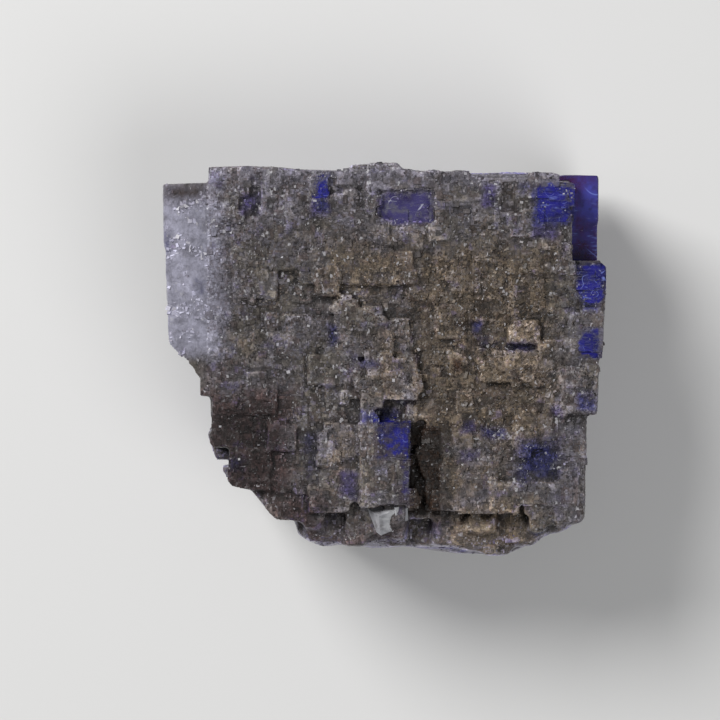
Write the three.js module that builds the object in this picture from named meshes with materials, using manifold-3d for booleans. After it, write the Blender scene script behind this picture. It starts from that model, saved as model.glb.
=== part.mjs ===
// A hand-sized fluorite specimen: violet-blue cubes that grew into one another as one solid piece.
// It lies on its broken back with its stepped display face up.
// Millimetres. +X is the specimen's right, +Y its top edge and +Z comes out of the display face.
// The origin is on the surface that it lies on, under the middle of its outline.
import * as THREE from "three";
import { mergeVertices } from "three/addons/utils/BufferGeometryUtils.js";
import Module from "manifold-3d";

const wasm = await Module();
wasm.setup();

// Driving sizes. The crystals share one lattice, so every flat lies on a step of it,
// and the whole piece is turned a little at the end
const STEP = 0.0625; // the lattice's step
const LATTICE_TURN = -1; // degrees that the lattice is turned in the outline
const FACE = 18.625; // height of the display face's general level
const CORNER_CUT = 0.25; // flat on the edges of each large cube
const DEEP = 3.5; // how far a tile of the mosaic is rooted below its own top
const OUTLINE = [-21.25, 20.875, -18.625, 18.75]; // left, right, low and high limits of the piece

const fluorite = new THREE.MeshStandardMaterial({ color: 0x57535c, roughness: 0.5, metalness: 0 });

// The large cubes that the piece is made of: left, right, low, high, foot, top
const CUBES = [
  // The display side, from its top edge down
  [-16.875, -5.25, 8.375, 18.125, 4.625, 18.75],
  [-8.625, 7.125, 7.625, 18.0, 3.25, 18.5],
  [4.375, 15.125, 8.375, 17.75, 3.875, 18.75],
  [12.375, 17.625, 8.5, 17.125, 4.25, 18.875],
  [-13.375, 17.5, -12.375, 16.625, 1.875, 18.25],
  [-17.375, -7.5, -3.5, 2.5, 4.375, 18.5],
  [-16.25, -5.125, -8.5, 2.25, 3.0, 18.25],
  [-14.5, -4.0, -12.5, -4.0, 2.25, 18.125],
  [-12.5, -7.625, -14.125, -9.0, 5.25, 17.25],
  [-11.125, -5.375, -15.375, -9.125, 4.25, 17.75],
  // The rear cubes that show past the top and right edges
  [-3.375, 1.375, 5.5, 18.75, 5.625, 14.625],
  [10.0, 20.25, 9.125, 17.75, 3.375, 15.125],
  [7.75, 15.25, 10.625, 18.125, 0.875, 10.25],
  // The right edge
  [16.125, 20.875, 0.625, 9.375, 5.375, 18.25],
  [15.5, 20.25, -4.75, 1.125, 7.25, 18.875],
  [13.375, 19.25, -5.875, 10.625, 1.75, 16.375],
  [15.125, 19.25, -15.25, -4.25, 2.75, 18.5],
  // The ragged bottom edge, which steps back from the display face
  [-8.25, -4.75, -17.0, -11.875, 6.125, 16.0],
  [-7.0, -2.5, -17.875, -10.25, 3.625, 16.75],
  [-3.375, 2.375, -18.125, -9.75, 2.5, 17.25],
  [1.625, 8.0, -18.375, -9.125, 3.125, 15.75],
  [5.375, 12.375, -18.625, -8.25, 2.0, 16.375],
  [9.625, 15.875, -17.125, -7.625, 4.375, 15.875],
  [12.0, 18.0, -16.125, -6.75, 1.375, 13.625],
  // The back: the two lowest carry the weight
  [-9.125, 5.625, -11.375, 6.125, 0.0, 8.0],
  [0.5, 14.375, -3.5, 12.375, 0.0, 7.0],
  [-12.75, -2.75, -0.5, 11.5, 0.75, 8.0],
  [3.625, 13.75, -13.5, -5.0, 0.75, 8.0],
  [-6.625, 3.625, 7.75, 15.375, 1.625, 9.0],
  [-12.875, -5.875, -10.75, -3.125, 1.25, 8.375],
];

// The thin pale slab at the upper left. Light comes through it, so nothing backs it
const SLAB = [-21.25, -12.0, -2.0, 16.5, 10.375, 18.0];

// Octahedral cleavage: outward direction of each break, and a point on it
const SLAB_BREAKS = [
  [[-1, -1, -1], [-19.03, -0.1, 18.0]],
  [[-1, 1, -1], [-20.84, 16.27, 12.6]],
  [[-18, -1, 0], [-21.21, 16.5, 18.0]],
];
const BREAKS = [
  [[-1, -1, -1], [-13.2, -12.2, 2.6]],
  [[1, -1, -1], [15.4, -13.6, 3.0]],
  [[1, 1, -1], [15.2, 13.6, 2.4]],
  [[-1, 1, -1], [-12.4, 14.4, 3.4]],
  [[-1, 0, -2], [-15.8, 1.0, 5.2]],
  [[0, -2, 1], [-7.0, -17.0, 16.8]],
  [[1, -2, 1], [16.6, -15.9, 18.4]],
  [[1, -2, 0], [12.0, -18.5, 15.0]],
];

// Tiles of the display face: left, right, low, high, rise above its general level
const TILES = [
  // Along the top edge
  [-16.875, -14.125, 13.375, 18.0, 0.5],
  [-14.0, -11.875, 13.375, 16.5, -0.375],
  [-11.75, -7.375, 10.375, 17.875, 0.125],
  [-7.25, -5.625, 13.5, 17.25, 0.5],
  [-5.5, -2.125, 14.25, 17.375, -0.375],
  [-5.5, -0.75, 10.0, 14.25, 0.25],
  [-2.0, -0.75, 14.125, 16.875, 0.5],
  [-0.625, 4.0, 13.125, 16.25, -0.5],
  [-0.75, 5.625, 16.25, 17.875, 0.25],
  [4.0, 5.875, 12.75, 16.625, 0.25],
  [5.875, 8.625, 13.5, 17.625, 0.0],
  [8.75, 10.5, 14.375, 17.125, 0.375],
  [10.625, 12.5, 13.125, 17.125, -0.125],
  [12.5, 17.375, 11.625, 16.875, 0.25],
  // The left and middle
  [-16.125, -14.625, 9.125, 12.75, 0.125],
  [-14.25, -10.25, 5.75, 8.125, 0.375],
  [-8.125, 2.0, 7.25, 10.0, 0.375],
  [-9.5, -6.625, 0.75, 3.75, -0.125],
  [-6.5, -4.5, 1.25, 3.5, -0.25],
  [-4.5, -0.25, 0.5, 5.0, 0.625],
  [-0.25, 2.5, 0.875, 3.125, 0.375],
  [-2.5, -0.375, -0.875, 0.5, -0.75],
  [-7.125, -2.375, -2.25, 0.375, 0.25],
  [-1.625, 3.125, -3.625, 0.375, 0.875],
  [1.875, 3.25, -3.625, -2.0, 1.125],
  [-0.875, 2.5, -5.625, -3.75, -1.25],
  [-13.5, -10.125, -5.125, -2.0, 0.25],
  [-15.875, -12.5, -5.25, -2.25, 0.125],
  // The lower left, with its upright tiles
  [-10.875, -8.25, -8.625, -6.125, 0.375],
  [-8.0, -5.75, -10.875, -6.125, -0.375],
  [-5.625, -2.25, -13.375, -6.0, 0.5],
  [-2.125, 2.5, -13.625, -5.75, 1.125],
  [-0.5, 2.375, -9.0, -5.75, 1.25],
  [-12.875, -10.75, -11.625, -9.0, 0.0],
  [0.25, 2.25, -15.75, -13.5, -0.125],
  // The recess right of the tall blue block, and what steps out of it
  [2.625, 4.125, -15.0, -5.5, -1.5],
  [4.125, 5.75, -14.125, -6.375, -0.875],
  [5.75, 9.25, -14.125, -8.75, -0.25],
  [9.375, 10.875, -12.75, -8.875, 0.0],
  // The right half
  [2.125, 10.625, 5.875, 9.625, -0.125],
  [4.875, 7.5, 2.25, 5.125, 0.25],
  [8.25, 11.5, 1.125, 4.125, -0.5],
  [11.625, 14.625, 1.875, 3.5, 0.5],
  [9.0, 14.75, -1.75, 1.25, 0.5],
  [14.875, 18.25, -1.25, 0.75, 0.375],
  [16.625, 20.125, -4.625, -0.25, 0.625],
  [17.375, 20.625, 1.25, 4.875, 0.0],
  [15.375, 16.75, -4.375, -1.5, 0.25],
  [12.375, 15.875, -8.0, -5.0, 0.125],
  [13.0, 16.625, -11.125, -8.0, -0.375],
  [11.125, 16.75, -13.375, -11.25, 0.375],
  [16.375, 18.625, -15.125, -11.5, 0.125],
  [14.0, 15.5, -16.125, -13.125, -0.125],
];

// Small cubes that stud each side: how many, span of their widths, how far they stand out
// and the degrees that one may lean out of the lattice
const STUDS = {
  face: { count: 110, width: [0.8, 2.4], proud: [0.08, 0.38], lean: 0 },
  edge: { count: 22, width: [1.2, 3.6], proud: [0.06, 0.24], lean: 0 },
  back: { count: 34, width: [1.6, 4.4], proud: [0.1, 0.5], lean: 0 },
  ragged: { count: 11, width: [1.4, 3.2], proud: [0.3, 0.8], lean: 24 },
};

// A repeatable run of numbers between 0 and 1
function numberRun(seed) {
  let state = seed;
  return () => {
    state = (Math.imul(state, 1664525) + 1013904223) >>> 0;
    return state / 4294967296;
  };
}

const degrees = THREE.MathUtils.degToRad;

// A closed three.js geometry, in place, as a solid that can be joined and cut
function solidOf(geometry) {
  const bare = geometry.clone();
  bare.deleteAttribute("normal");
  bare.deleteAttribute("uv");
  const merged = mergeVertices(bare, 1e-5);
  return new wasm.Manifold(
    new wasm.Mesh({
      numProp: 3,
      vertProperties: new Float32Array(merged.attributes.position.array),
      triVerts: new Uint32Array(merged.index.array),
    }),
  );
}

// A sharp block with its middle, its size and its lean about three axes
function block(middle, size, lean = [0, 0, 0]) {
  const geometry = new THREE.BoxGeometry(...size);
  const place = new THREE.Matrix4().makeRotationFromEuler(new THREE.Euler(...lean.map(degrees)));
  place.setPosition(...middle);
  return solidOf(geometry.applyMatrix4(place));
}

// A large cube: its upright corners and its upper and lower rims are cut a little
function largeCube([left, right, low, high, foot, top]) {
  const [wide, long] = [(right - left) / 2, (high - low) / 2];
  const cut = CORNER_CUT;
  const outline = new THREE.Shape([
    new THREE.Vector2(-wide + cut, -long),
    new THREE.Vector2(wide - cut, -long),
    new THREE.Vector2(wide, -long + cut),
    new THREE.Vector2(wide, long - cut),
    new THREE.Vector2(wide - cut, long),
    new THREE.Vector2(-wide + cut, long),
    new THREE.Vector2(-wide, long - cut),
    new THREE.Vector2(-wide, -long + cut),
  ]);
  const geometry = new THREE.ExtrudeGeometry(outline, {
    depth: top - foot - 2 * cut,
    bevelSize: cut,
    bevelOffset: -cut,
    bevelThickness: cut,
    bevelSegments: 1,
  });
  geometry.translate(0, 0, foot + cut);
  geometry.translate((left + right) / 2, (low + high) / 2, 0);
  return solidOf(geometry);
}

// Takes off everything on the outward side of a plane through a point
function cleave(solid, [outward, point]) {
  const reach = 90;
  const direction = new THREE.Vector3(...outward).normalize();
  const cutter = new THREE.BoxGeometry(reach, reach, reach);
  cutter.translate(0, 0, reach / 2);
  cutter.applyQuaternion(new THREE.Quaternion().setFromUnitVectors(new THREE.Vector3(0, 0, 1), direction));
  cutter.translate(...point);
  return solid.subtract(solidOf(cutter));
}

// Sets one tile of the display face to its own level: what stands above it goes, and it is filled up to there
function layTile(solid, [left, right, low, high, rise]) {
  const top = FACE + rise;
  const middle = [(left + right) / 2, (low + high) / 2];
  const size = [right - left, high - low];
  const clearance = 4;
  const above = block([...middle, top + clearance / 2], [...size, clearance]);
  const tile = block([...middle, top - DEEP / 2], [...size, DEEP]);
  return solid.subtract(above).add(tile);
}

// The nearest step of the lattice
function onStep(v) {
  return Math.round(v / STEP) * STEP;
}

// The point where a straight line from outside first meets the mesh
function firstTouch(mesh, from, along) {
  const line = new THREE.Raycaster(new THREE.Vector3(...from), new THREE.Vector3(...along));
  const hit = line.intersectObject(mesh)[0];
  return hit ? hit.point.toArray() : null;
}

// Small cubes on the side that faces outward, each rooted where a line from outside meets the solid
function studs(mesh, outward, span, { count, width, proud, lean }, random) {
  const made = [];
  const between = ([low, high]) => low + (high - low) * random();
  const even = (v) => Math.ceil(v / (2 * STEP)) * 2 * STEP;
  const along = outward.map((v) => -v);
  const start = 40;
  for (let i = 0; i < count; i++) {
    const from = span.map((s, axis) => (outward[axis] ? outward[axis] * start : between(s)));
    const touch = firstTouch(mesh, from, along);
    const size = [between(width), between(width), between(width)].map(even);
    const stands = between(proud);
    const leans = [random(), random(), random()].map((v) => (v - 0.5) * 2 * lean);
    if (!touch) continue;
    const middle = touch.map((v, axis) => onStep(v + outward[axis] * (stands - size[axis] / 2)));
    made.push(block(middle, size, leans));
  }
  return made;
}

// The whole piece
function specimen() {
  let slab = largeCube(SLAB);
  for (const plane of SLAB_BREAKS) slab = cleave(slab, plane);
  let solid = wasm.Manifold.union([slab, ...CUBES.map(largeCube)]);
  for (const plane of BREAKS) solid = cleave(solid, plane);
  for (const tile of TILES) solid = layTile(solid, tile);

  const random = numberRun(25);
  const ragged = numberRun(67);
  const [x, y, z] = [[-19.5, 19.5], [-17.5, 17.5], [7.5, 16.5]];
  const bottom = [[-8.5, 14.5], [-18.4, -14.5], [8.5, 15.5]];
  const large = meshOf(solid, "large", fluorite);
  const small = [
    ...studs(large, [0, 0, 1], [x, y, z], STUDS.face, random),
    ...studs(large, [1, 0, 0], [x, y, z], STUDS.edge, random),
    ...studs(large, [-1, 0, 0], [x, y, z], STUDS.edge, random),
    ...studs(large, [0, 1, 0], [x, y, z], STUDS.edge, random),
    ...studs(large, [0, -1, 0], [x, y, z], STUDS.edge, random),
    ...studs(large, [0, 0, -1], [x, y, z], STUDS.back, random),
    ...studs(large, [0, 0, 1], bottom, STUDS.ragged, ragged),
    ...studs(large, [0, -1, 0], bottom, STUDS.ragged, ragged),
  ];
  solid = wasm.Manifold.union([solid, ...small]);

  // What grew past the outline or below the surface that it lies on is taken off
  const [left, right, low, high] = OUTLINE;
  const roomy = 30;
  const box = block([(left + right) / 2, (low + high) / 2, roomy / 2], [right - left, high - low, roomy]);
  return solid.intersect(box);
}

// Turns the finished piece on its lattice's axis and puts the middle of its outline over the origin
function settle(mesh) {
  const geometry = mesh.geometry;
  geometry.rotateZ(degrees(LATTICE_TURN));
  geometry.computeBoundingBox();
  const middle = geometry.boundingBox.getCenter(new THREE.Vector3());
  geometry.translate(-middle.x, -middle.y, 0);
  return mesh;
}

// A solid as a mesh that three.js can draw
function meshOf(solid, name, material) {
  const { vertProperties, triVerts, numProp } = solid.getMesh();
  const positions = new Float32Array((vertProperties.length / numProp) * 3);
  for (let i = 0; i * numProp < vertProperties.length; i++) {
    positions.set(vertProperties.subarray(i * numProp, i * numProp + 3), i * 3);
  }
  const geometry = new THREE.BufferGeometry();
  geometry.setAttribute("position", new THREE.BufferAttribute(positions, 3));
  geometry.setIndex(new THREE.BufferAttribute(new Uint32Array(triVerts), 1));
  const faceted = geometry.toNonIndexed();
  faceted.computeVertexNormals();
  const mesh = new THREE.Mesh(faceted, material);
  mesh.name = name;
  return mesh;
}

const group = new THREE.Group();
group.add(settle(meshOf(specimen(), "fluorite_specimen", fluorite)));

export default group;
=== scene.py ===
"""A fluorite specimen that lies on its broken back, seen from above.

Its crust is granular, over a mosaic of low plates on large intergrown cubes. Clear blue crystals are set
in the crust, a pale slab stands at the upper left and a deep blue cube at the upper right.
"""

import math

import bmesh
import bpy
import numpy as np
from mathutils import Euler, Matrix, Vector
from mathutils.bvhtree import BVHTree


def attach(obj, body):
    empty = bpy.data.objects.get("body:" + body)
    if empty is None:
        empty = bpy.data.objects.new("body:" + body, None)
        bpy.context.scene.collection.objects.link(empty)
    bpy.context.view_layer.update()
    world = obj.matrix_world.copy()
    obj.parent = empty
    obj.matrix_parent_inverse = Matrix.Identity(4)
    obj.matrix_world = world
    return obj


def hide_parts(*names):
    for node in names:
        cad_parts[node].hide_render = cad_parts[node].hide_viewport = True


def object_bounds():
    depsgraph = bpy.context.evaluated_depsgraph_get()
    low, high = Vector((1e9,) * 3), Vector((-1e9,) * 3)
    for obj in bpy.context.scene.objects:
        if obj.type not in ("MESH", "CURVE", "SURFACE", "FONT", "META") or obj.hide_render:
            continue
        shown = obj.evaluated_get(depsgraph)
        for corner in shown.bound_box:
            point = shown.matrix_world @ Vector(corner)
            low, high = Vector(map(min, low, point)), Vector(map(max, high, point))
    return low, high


MM = 0.001
NODE = "fluorite_specimen"

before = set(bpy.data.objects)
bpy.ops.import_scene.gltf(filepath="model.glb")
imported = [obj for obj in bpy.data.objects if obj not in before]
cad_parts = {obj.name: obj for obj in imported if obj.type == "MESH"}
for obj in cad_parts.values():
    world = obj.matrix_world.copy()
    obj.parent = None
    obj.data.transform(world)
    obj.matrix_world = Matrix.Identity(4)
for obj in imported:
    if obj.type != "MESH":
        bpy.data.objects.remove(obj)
cad_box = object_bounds()
lowest, highest = Vector(cad_box[0]), Vector(cad_box[1])

# Clear crystals set in the display face: left, right, low, high, depth in millimetres, and tint
CLEAR_CRYSTALS = [
    (14.9, 17.6, 13.7, 16.7, 3.2, "ultramarine"),
    (-0.5, 4.4, 13.2, 16.0, 1.8, "violet"),
    (-6.4, -5.3, 15.9, 17.4, 1.6, "ultramarine"),
    (-0.6, 2.3, -8.8, -5.8, 3.0, "ultramarine"),
    (1.4, 2.3, -13.1, -9.85, 1.8, "violet"),
    (18.4, 20.8, 6.0, 9.0, 2.4, "ultramarine"),
    (18.6, 20.2, 0.8, 2.8, 1.4, "ultramarine"),
]

# Colour inside the crust, and painted light and shade on it, in millimetres: left, right, low, high,
# strength, and a soft edge if it has its own
BLUE = [
    (17.9, 21.0, 12.6, 18.2, 1.2),
    (-6.5, -5.3, 14.0, 17.5, 0.9),
    (12.8, 17.6, 16.3, 16.8, 0.9),
    (13.8, 17.6, 12.6, 16.7, 0.9),
    (18.2, 21.0, 5.7, 9.2, 1.0),
    (18.3, 20.3, 4.5, 6.8, 0.8),
    (18.5, 20.3, 0.3, 2.9, 1.0),
    (17.9, 20.3, -4.9, -2.6, 0.7),
    (-5.4, -4.4, 1.4, 3.5, 0.9),
    (-2.5, -0.3, -0.7, 0.5, 0.7),
    (-0.6, 2.4, -8.9, -5.7, 1.0),
    (1.4, 2.4, -13.2, -8.8, 0.7),
    (-2.4, 1.6, -6.0, -4.4, 0.8),
    (-8.0, -6.0, -10.6, -6.2, 0.65, 1.3),
    (8.2, 9.2, 2.5, 3.8, 0.9),
    (8.7, 10.3, 0.7, 3.1, 0.55),
    (11.5, 14.1, 1.0, 1.7, 0.95),
    (9.1, 11.4, -7.3, -6.2, 0.95, 0.9),
    (12.8, 16.4, -10.8, -7.5, 1.1, 1.6),
    (12.2, 14.6, -11.6, -9.4, 0.8, 1.4),
    (14.8, 16.9, -8.6, -5.6, 0.6, 1.4),
    (-15.2, -13.0, -10.8, -8.6, 0.6, 1.2),
    (-10.6, -9.2, -8.2, -6.6, 0.4, 1.2),
    (7.0, 9.2, -9.6, -8.2, 0.6, 1.4),
    (11.0, 13.2, 9.2, 11.2, 0.25),
    (-18.0, -16.6, 6.0, 8.0, 0.55),
    (-21.0, -20.0, 10.0, 12.2, 0.6),
]
VIOLET = [
    (-7.0, -5.3, 13.6, 16.0, 0.9),
    (-0.6, 4.5, 13.0, 16.1, 0.9),
    (9.0, 10.8, 14.3, 17.0, 0.8),
    (13.8, 16.6, 11.4, 14.0, 0.8),
    (-13.8, -11.4, 13.5, 16.0, 0.75),
    (-5.3, -1.6, 14.2, 17.8, 0.3),
    (-13.6, -12.3, 3.9, 4.9, 0.7),
    (-0.9, 0.9, 3.0, 4.0, 0.6),
    (2.9, 3.6, -0.2, 0.7, 0.8),
    (5.2, 6.1, 0.7, 1.6, 0.5),
    (7.3, 8.5, -6.7, -5.5, 1.0),
    (6.9, 8.9, -9.7, -8.3, 0.8),
    (15.6, 16.6, -5.3, -4.1, 0.9),
    (14.3, 15.2, -3.9, -3.3, 0.7),
    (-4.4, -2.3, -13.3, -10.2, 0.75),
    (-12.8, -9.2, -9.2, -5.6, 0.35),
    (4.5, 10.0, 4.4, 6.2, 0.3),
    (16.4, 17.6, 5.0, 12.0, 0.45),
    (2.8, 5.6, -17.2, -15.0, 0.5),
    (6.5, 10.0, -14.8, -7.8, 0.3),
    (-21.0, -19.6, 8.6, 13.4, 0.4),
    (-6.8, -3.4, -17.8, -14.4, 0.3),
    (15.4, 18.0, -15.4, -12.0, 0.4),
]
# Rust stains, with painted shade in the crevices of the middle and in the deep recess low in the middle
RUST_AND_SHADE = [
    (-20.2, -17.2, 15.4, 16.5, 0.6),
    (6.3, 8.6, 3.2, 3.9, 0.8),
    (6.4, 7.4, -1.1, 0.3, 1.0),
    (7.4, 8.4, -4.3, -3.7, 0.9),
    (11.4, 13.0, -5.9, -5.2, 0.8),
    (12.1, 12.9, 3.3, 3.8, 0.8),
    (2.3, 5.4, -14.6, -6.0, 1.0),
    (-1.0, 2.4, -5.6, -3.9, 0.3),
    (-2.3, -1.9, 12.0, 14.0, 0.6),
    (10.2, 11.2, -8.9, -7.9, 0.4),
    (-0.4, 0.6, 8.8, 9.4, 0.6),
    (4.2, 8.2, -16.2, -14.6, 0.5),
]
TAN = [
    (2.2, 16.2, -8.0, 11.0, 1.0),
    (-6.5, 6.0, 5.2, 11.8, 0.75),
    (-1.8, 2.4, -3.8, 3.2, 0.75),
    (-5.4, -2.4, -12.2, -6.0, 0.7),
    (4.0, 12.0, -14.0, -8.0, 0.7),
    (6.0, 14.0, -18.2, -13.0, 0.95),
    (-14.6, -6.0, 6.5, 9.8, 0.35),
    (-18.8, -12.2, 0.6, 3.0, 0.6),
    (11.6, 14.6, 2.4, 3.2, 1.3),
    (7.2, 15.0, -1.4, 1.6, 1.15),
]
LAVENDER = [
    (-21.5, -14.6, 1.8, 17.2, 1.0),
    (-17.0, 21.0, 16.2, 19.0, 0.9),
    (-14.0, -6.4, 11.6, 17.0, 0.5),
    (5.0, 13.5, 12.2, 16.8, 0.45),
    (17.6, 21.0, -5.4, 10.0, 0.35),
    (1.9, 3.3, -3.7, -1.9, 1.3),
    (16.2, 19.4, -16.2, -5.2, 0.7),
    (-2.2, 1.0, -14.4, -6.2, 0.6),
    (-6.2, 2.4, -18.2, -15.6, 0.6),
    (15.0, 20.6, -4.8, 2.0, 0.4),
    (-10.5, -2.0, -4.5, 4.0, 0.3),
    (6.0, 10.5, -15.5, -8.0, 0.8),
]
PALE = [
    (-21.5, -15.4, 0.6, 15.0, 1.05),
    (-17.4, -15.0, 14.2, 18.6, 0.55),
    (-16.4, -14.2, 6.0, 12.6, 0.5),
]
PLUM = [
    (-9.5, 2.6, -19.0, -15.3, 0.85),
    (2.6, 8.5, -19.0, -16.8, 0.7),
    (-18.0, -8.8, -13.0, -2.8, 1.25),
    (2.4, 7.0, -15.0, -5.8, 0.8),
    (-20.6, -17.0, 15.0, 16.6, 0.8),
    (-17.4, -13.4, -4.0, 1.0, 0.7),
    (-10.5, -5.6, -17.0, -12.4, 1.1),
    (-7.0, 4.8, -19.0, -14.8, 0.6),
    (5.0, 17.0, -18.8, -16.4, 0.5),
    (4.2, 8.0, -2.4, 0.8, 0.3),
]
# Lighter tone, with painted light on the lit left sides of raised plates and blocks and on sparkling spots of
# the slab
LIGHTER_TONE_AND_PAINTED_LIGHT = [
    (11.6, 14.4, 2.2, 3.2, 1.0),
    (7.2, 14.8, -1.6, 0.9, 0.8),
    (-2.1, -0.8, -13.4, -5.9, 0.8),
    (-4.5, -3.9, 0.6, 5.0, 1.0),
    (-2.4, 3.1, -3.8, -0.2, 0.5),
    (0.5, 3.2, -3.9, -1.7, 0.8),
    (-5.4, -2.4, -12.6, -6.2, 0.8),
    (3.2, 6.0, -6.8, -4.9, 0.9),
    (15.2, 16.8, -3.5, -1.5, 0.8),
    (11.2, 13.5, -8.2, -6.3, 0.7),
    (-10.1, -8.9, 16.9, 17.9, 1.2),
    (-10.2, -9.1, 14.2, 15.4, 1.0),
    (-10.7, -9.2, 5.8, 8.5, 0.8),
    (-16.2, -13.9, 13.6, 15.6, 0.6),
    (-15.5, -13.5, 16.8, 18.2, 0.7),
    (-1.0, 5.0, 11.3, 13.2, 0.6),
    (4.0, 12.0, -15.6, -12.6, 0.6),
    (6.0, 14.0, -18.4, -15.2, 0.8),
    (14.4, 18.4, -4.0, -1.0, 0.5),
    (-0.9, 1.0, -8.3, -6.9, 0.5),
    (-19.6, -18.2, 6.4, 8.6, 0.9),
    (-20.9, -19.3, 12.2, 15.4, 0.8),
    (-20.8, -19.0, 9.0, 11.4, 0.8),
    (-21.0, -19.4, 2.0, 4.4, 0.7),
]
# Painted shade: in recesses and pockets, below raised plates and at the lower left
PAINTED_SHADE = [
    (-10.1, -6.6, 5.1, 9.9, 0.6),
    (2.4, 6.4, -14.6, -6.0, 1.2),
    (-18.0, -16.4, 6.0, 8.0, 0.3),
    (6.5, 8.4, 3.2, 3.9, 0.9),
    (8.4, 10.5, 0.6, 3.2, 0.7),
    (-17.5, -10.0, -13.0, -4.0, 1.0),
    (-8.3, -5.8, -11.0, -6.0, 0.5),
    (-1.2, 2.5, -5.7, -3.9, 0.4),
    (3.4, 5.0, -1.8, 3.0, 0.5),
    (17.6, 20.4, -5.9, -5.0, 1.2),
    (-16.9, -14.4, 5.4, 8.2, 0.5),
    (-9.4, -6.8, -15.0, -12.6, 0.5),
    (-5.4, -1.9, 16.0, 18.2, 0.35),
    (10.2, 12.0, 5.0, 8.0, 0.4),
]
LAYERS = {
    "blue": (BLUE, 0.75),
    "violet": (VIOLET, 0.8),
    "rust_and_shade": (RUST_AND_SHADE, 0.5),
    "tan": (TAN, 2.2),
    "lavender": (LAVENDER, 2.4),
    "plum": (PLUM, 2.6),
    "pale": (PALE, 1.8),
    "light": (LIGHTER_TONE_AND_PAINTED_LIGHT, 0.6),
    "painted_shade": (PAINTED_SHADE, 0.9),
}

# Where the slab and the rear cube lie, in millimetres: left, right, low, high, then foot and top
SLAB = ((-22.0, -16.9, -2.6, 17.0), (10.0, 19.0))
REAR_CUBE = ((17.7, 21.5, 9.35, 18.0), (3.2, 15.2))
REAR_STRIP = ((15.2, 21.5, 17.15, 18.0), (3.2, 15.2))

# The silhouette from above, in millimetres, from the upper left corner and clockwise
OUTLINE = [
    (-21.0, 16.75), (-16.7, 16.85), (-16.65, 18.35), (-11.5, 18.45), (-8.0, 18.1), (-3.7, 18.0),
    (-3.1, 18.75), (1.3, 18.75), (1.6, 18.15), (8.1, 18.0), (15.2, 17.8), (20.55, 17.6),
    (20.45, 9.4), (21.0, 8.9), (20.65, 1.6), (20.15, -5.0), (19.2, -5.25), (19.0, -15.0),
    (18.0, -15.9), (16.6, -16.85), (11.9, -18.75), (5.2, -18.55), (1.9, -17.8), (-1.2, -18.2),
    (-3.3, -17.6), (-6.1, -17.9), (-8.35, -16.65), (-8.55, -15.05), (-10.2, -15.15), (-11.3, -13.9),
    (-12.7, -12.2), (-14.4, -11.85), (-15.9, -10.2), (-16.8, -7.4), (-17.4, -3.2), (-17.4, -1.55),
    (-20.4, 1.55), (-20.75, 5.8),
]

# The leaning cubes of the pale corner: middle and widths in millimetres, and turns in radians
WHITE_CORNER = [
    ((0.1, -14.8, 17.5), (2.6, 2.1, 2.1), (0.5, 0.45, 0.35)),
    ((1.1, -14.3, 17.4), (1.4, 1.6, 1.9), (0.3, 0.6, 0.2)),
]

# The part of the display face where the grains lie jumbled
JUMBLE = dict(jumbled_middle=Vector((9.5, 0.5, 18.0)) * MM, jumbled_reach=11.0 * MM)

# The display face's general level, and how far its low steps are pressed towards it
FACE_STEP = 18.45 * MM
GENTLE = 0.5

# The widths of the fine meshes' squares, and the level where the body is parted in two pieces
GRAIN_MESH = 0.2 * MM
CLEAR_MESH = 0.2 * MM
REAR_MESH = 0.22 * MM
SPLIT_LEVEL = 11.0 * MM


def node(tree, kind, inputs=None, **settings):
    """Adds a node. A value of inputs is another node's socket or a plain value."""
    made = tree.nodes.new(kind)
    for name, value in settings.items():
        setattr(made, name, value)
    for key, value in (inputs or {}).items():
        if isinstance(value, bpy.types.NodeSocket):
            tree.links.new(value, made.inputs[key])
        else:
            made.inputs[key].default_value = value
    return made


def reckon(tree, operation, *values, clamp=False):
    """The result of a Math node."""
    made = node(tree, "ShaderNodeMath", dict(enumerate(values)), operation=operation, use_clamp=clamp)
    return made.outputs[0]


def times(tree, first, second, clamp=False):
    return reckon(tree, "MULTIPLY", first, second, clamp=clamp)


def straight(tree, value, slope, start, clamp=False):
    """The value times a slope, plus a start."""
    return reckon(tree, "MULTIPLY_ADD", value, slope, start, clamp=clamp)


def vector_math(tree, operation, *values):
    """The vector that a Vector Math node gives."""
    return node(tree, "ShaderNodeVectorMath", dict(enumerate(values)), operation=operation).outputs["Vector"]


def scaled(tree, vector, factor):
    made = node(tree, "ShaderNodeVectorMath", {0: vector, "Scale": factor}, operation="SCALE")
    return made.outputs["Vector"]


def random_float(tree, least, most, seed):
    made = node(tree, "FunctionNodeRandomValue", {2: least, 3: most, 8: seed}, data_type="FLOAT")
    return made.outputs[1]


def random_vector(tree, least, most, seed):
    made = node(tree, "FunctionNodeRandomValue", {0: least, 1: most, 8: seed}, data_type="FLOAT_VECTOR")
    return made.outputs[0]


def noise_texture(tree, vector, scale, detail=2.0, rough=0.5, distortion=0.0):
    inputs = {"Vector": vector, "Scale": scale, "Detail": detail, "Roughness": rough}
    return node(tree, "ShaderNodeTexNoise", {**inputs, "Distortion": distortion}).outputs


def mapped(tree, vector, moved=(0.0, 0.0, 0.0), turned=(0.0, 0.0, 0.0), stretched=(1.0, 1.0, 1.0)):
    return node(tree, "ShaderNodeMapping", {0: vector, 1: moved, 2: turned, 3: stretched}).outputs[0]


def compare(tree, first, second, operation):
    return node(tree, "FunctionNodeCompare", {0: first, 1: second}, operation=operation).outputs[0]


def both(tree, first, second, operation="AND"):
    return node(tree, "FunctionNodeBooleanMath", {0: first, 1: second}, operation=operation).outputs[0]


def sockets(tree, ins, outs):
    for name, kind in ins:
        tree.interface.new_socket(name, in_out="INPUT", socket_type="NodeSocket" + kind)
    for name, kind in outs:
        tree.interface.new_socket(name, in_out="OUTPUT", socket_type="NodeSocket" + kind)


# Growing crystals on a surface


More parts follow.
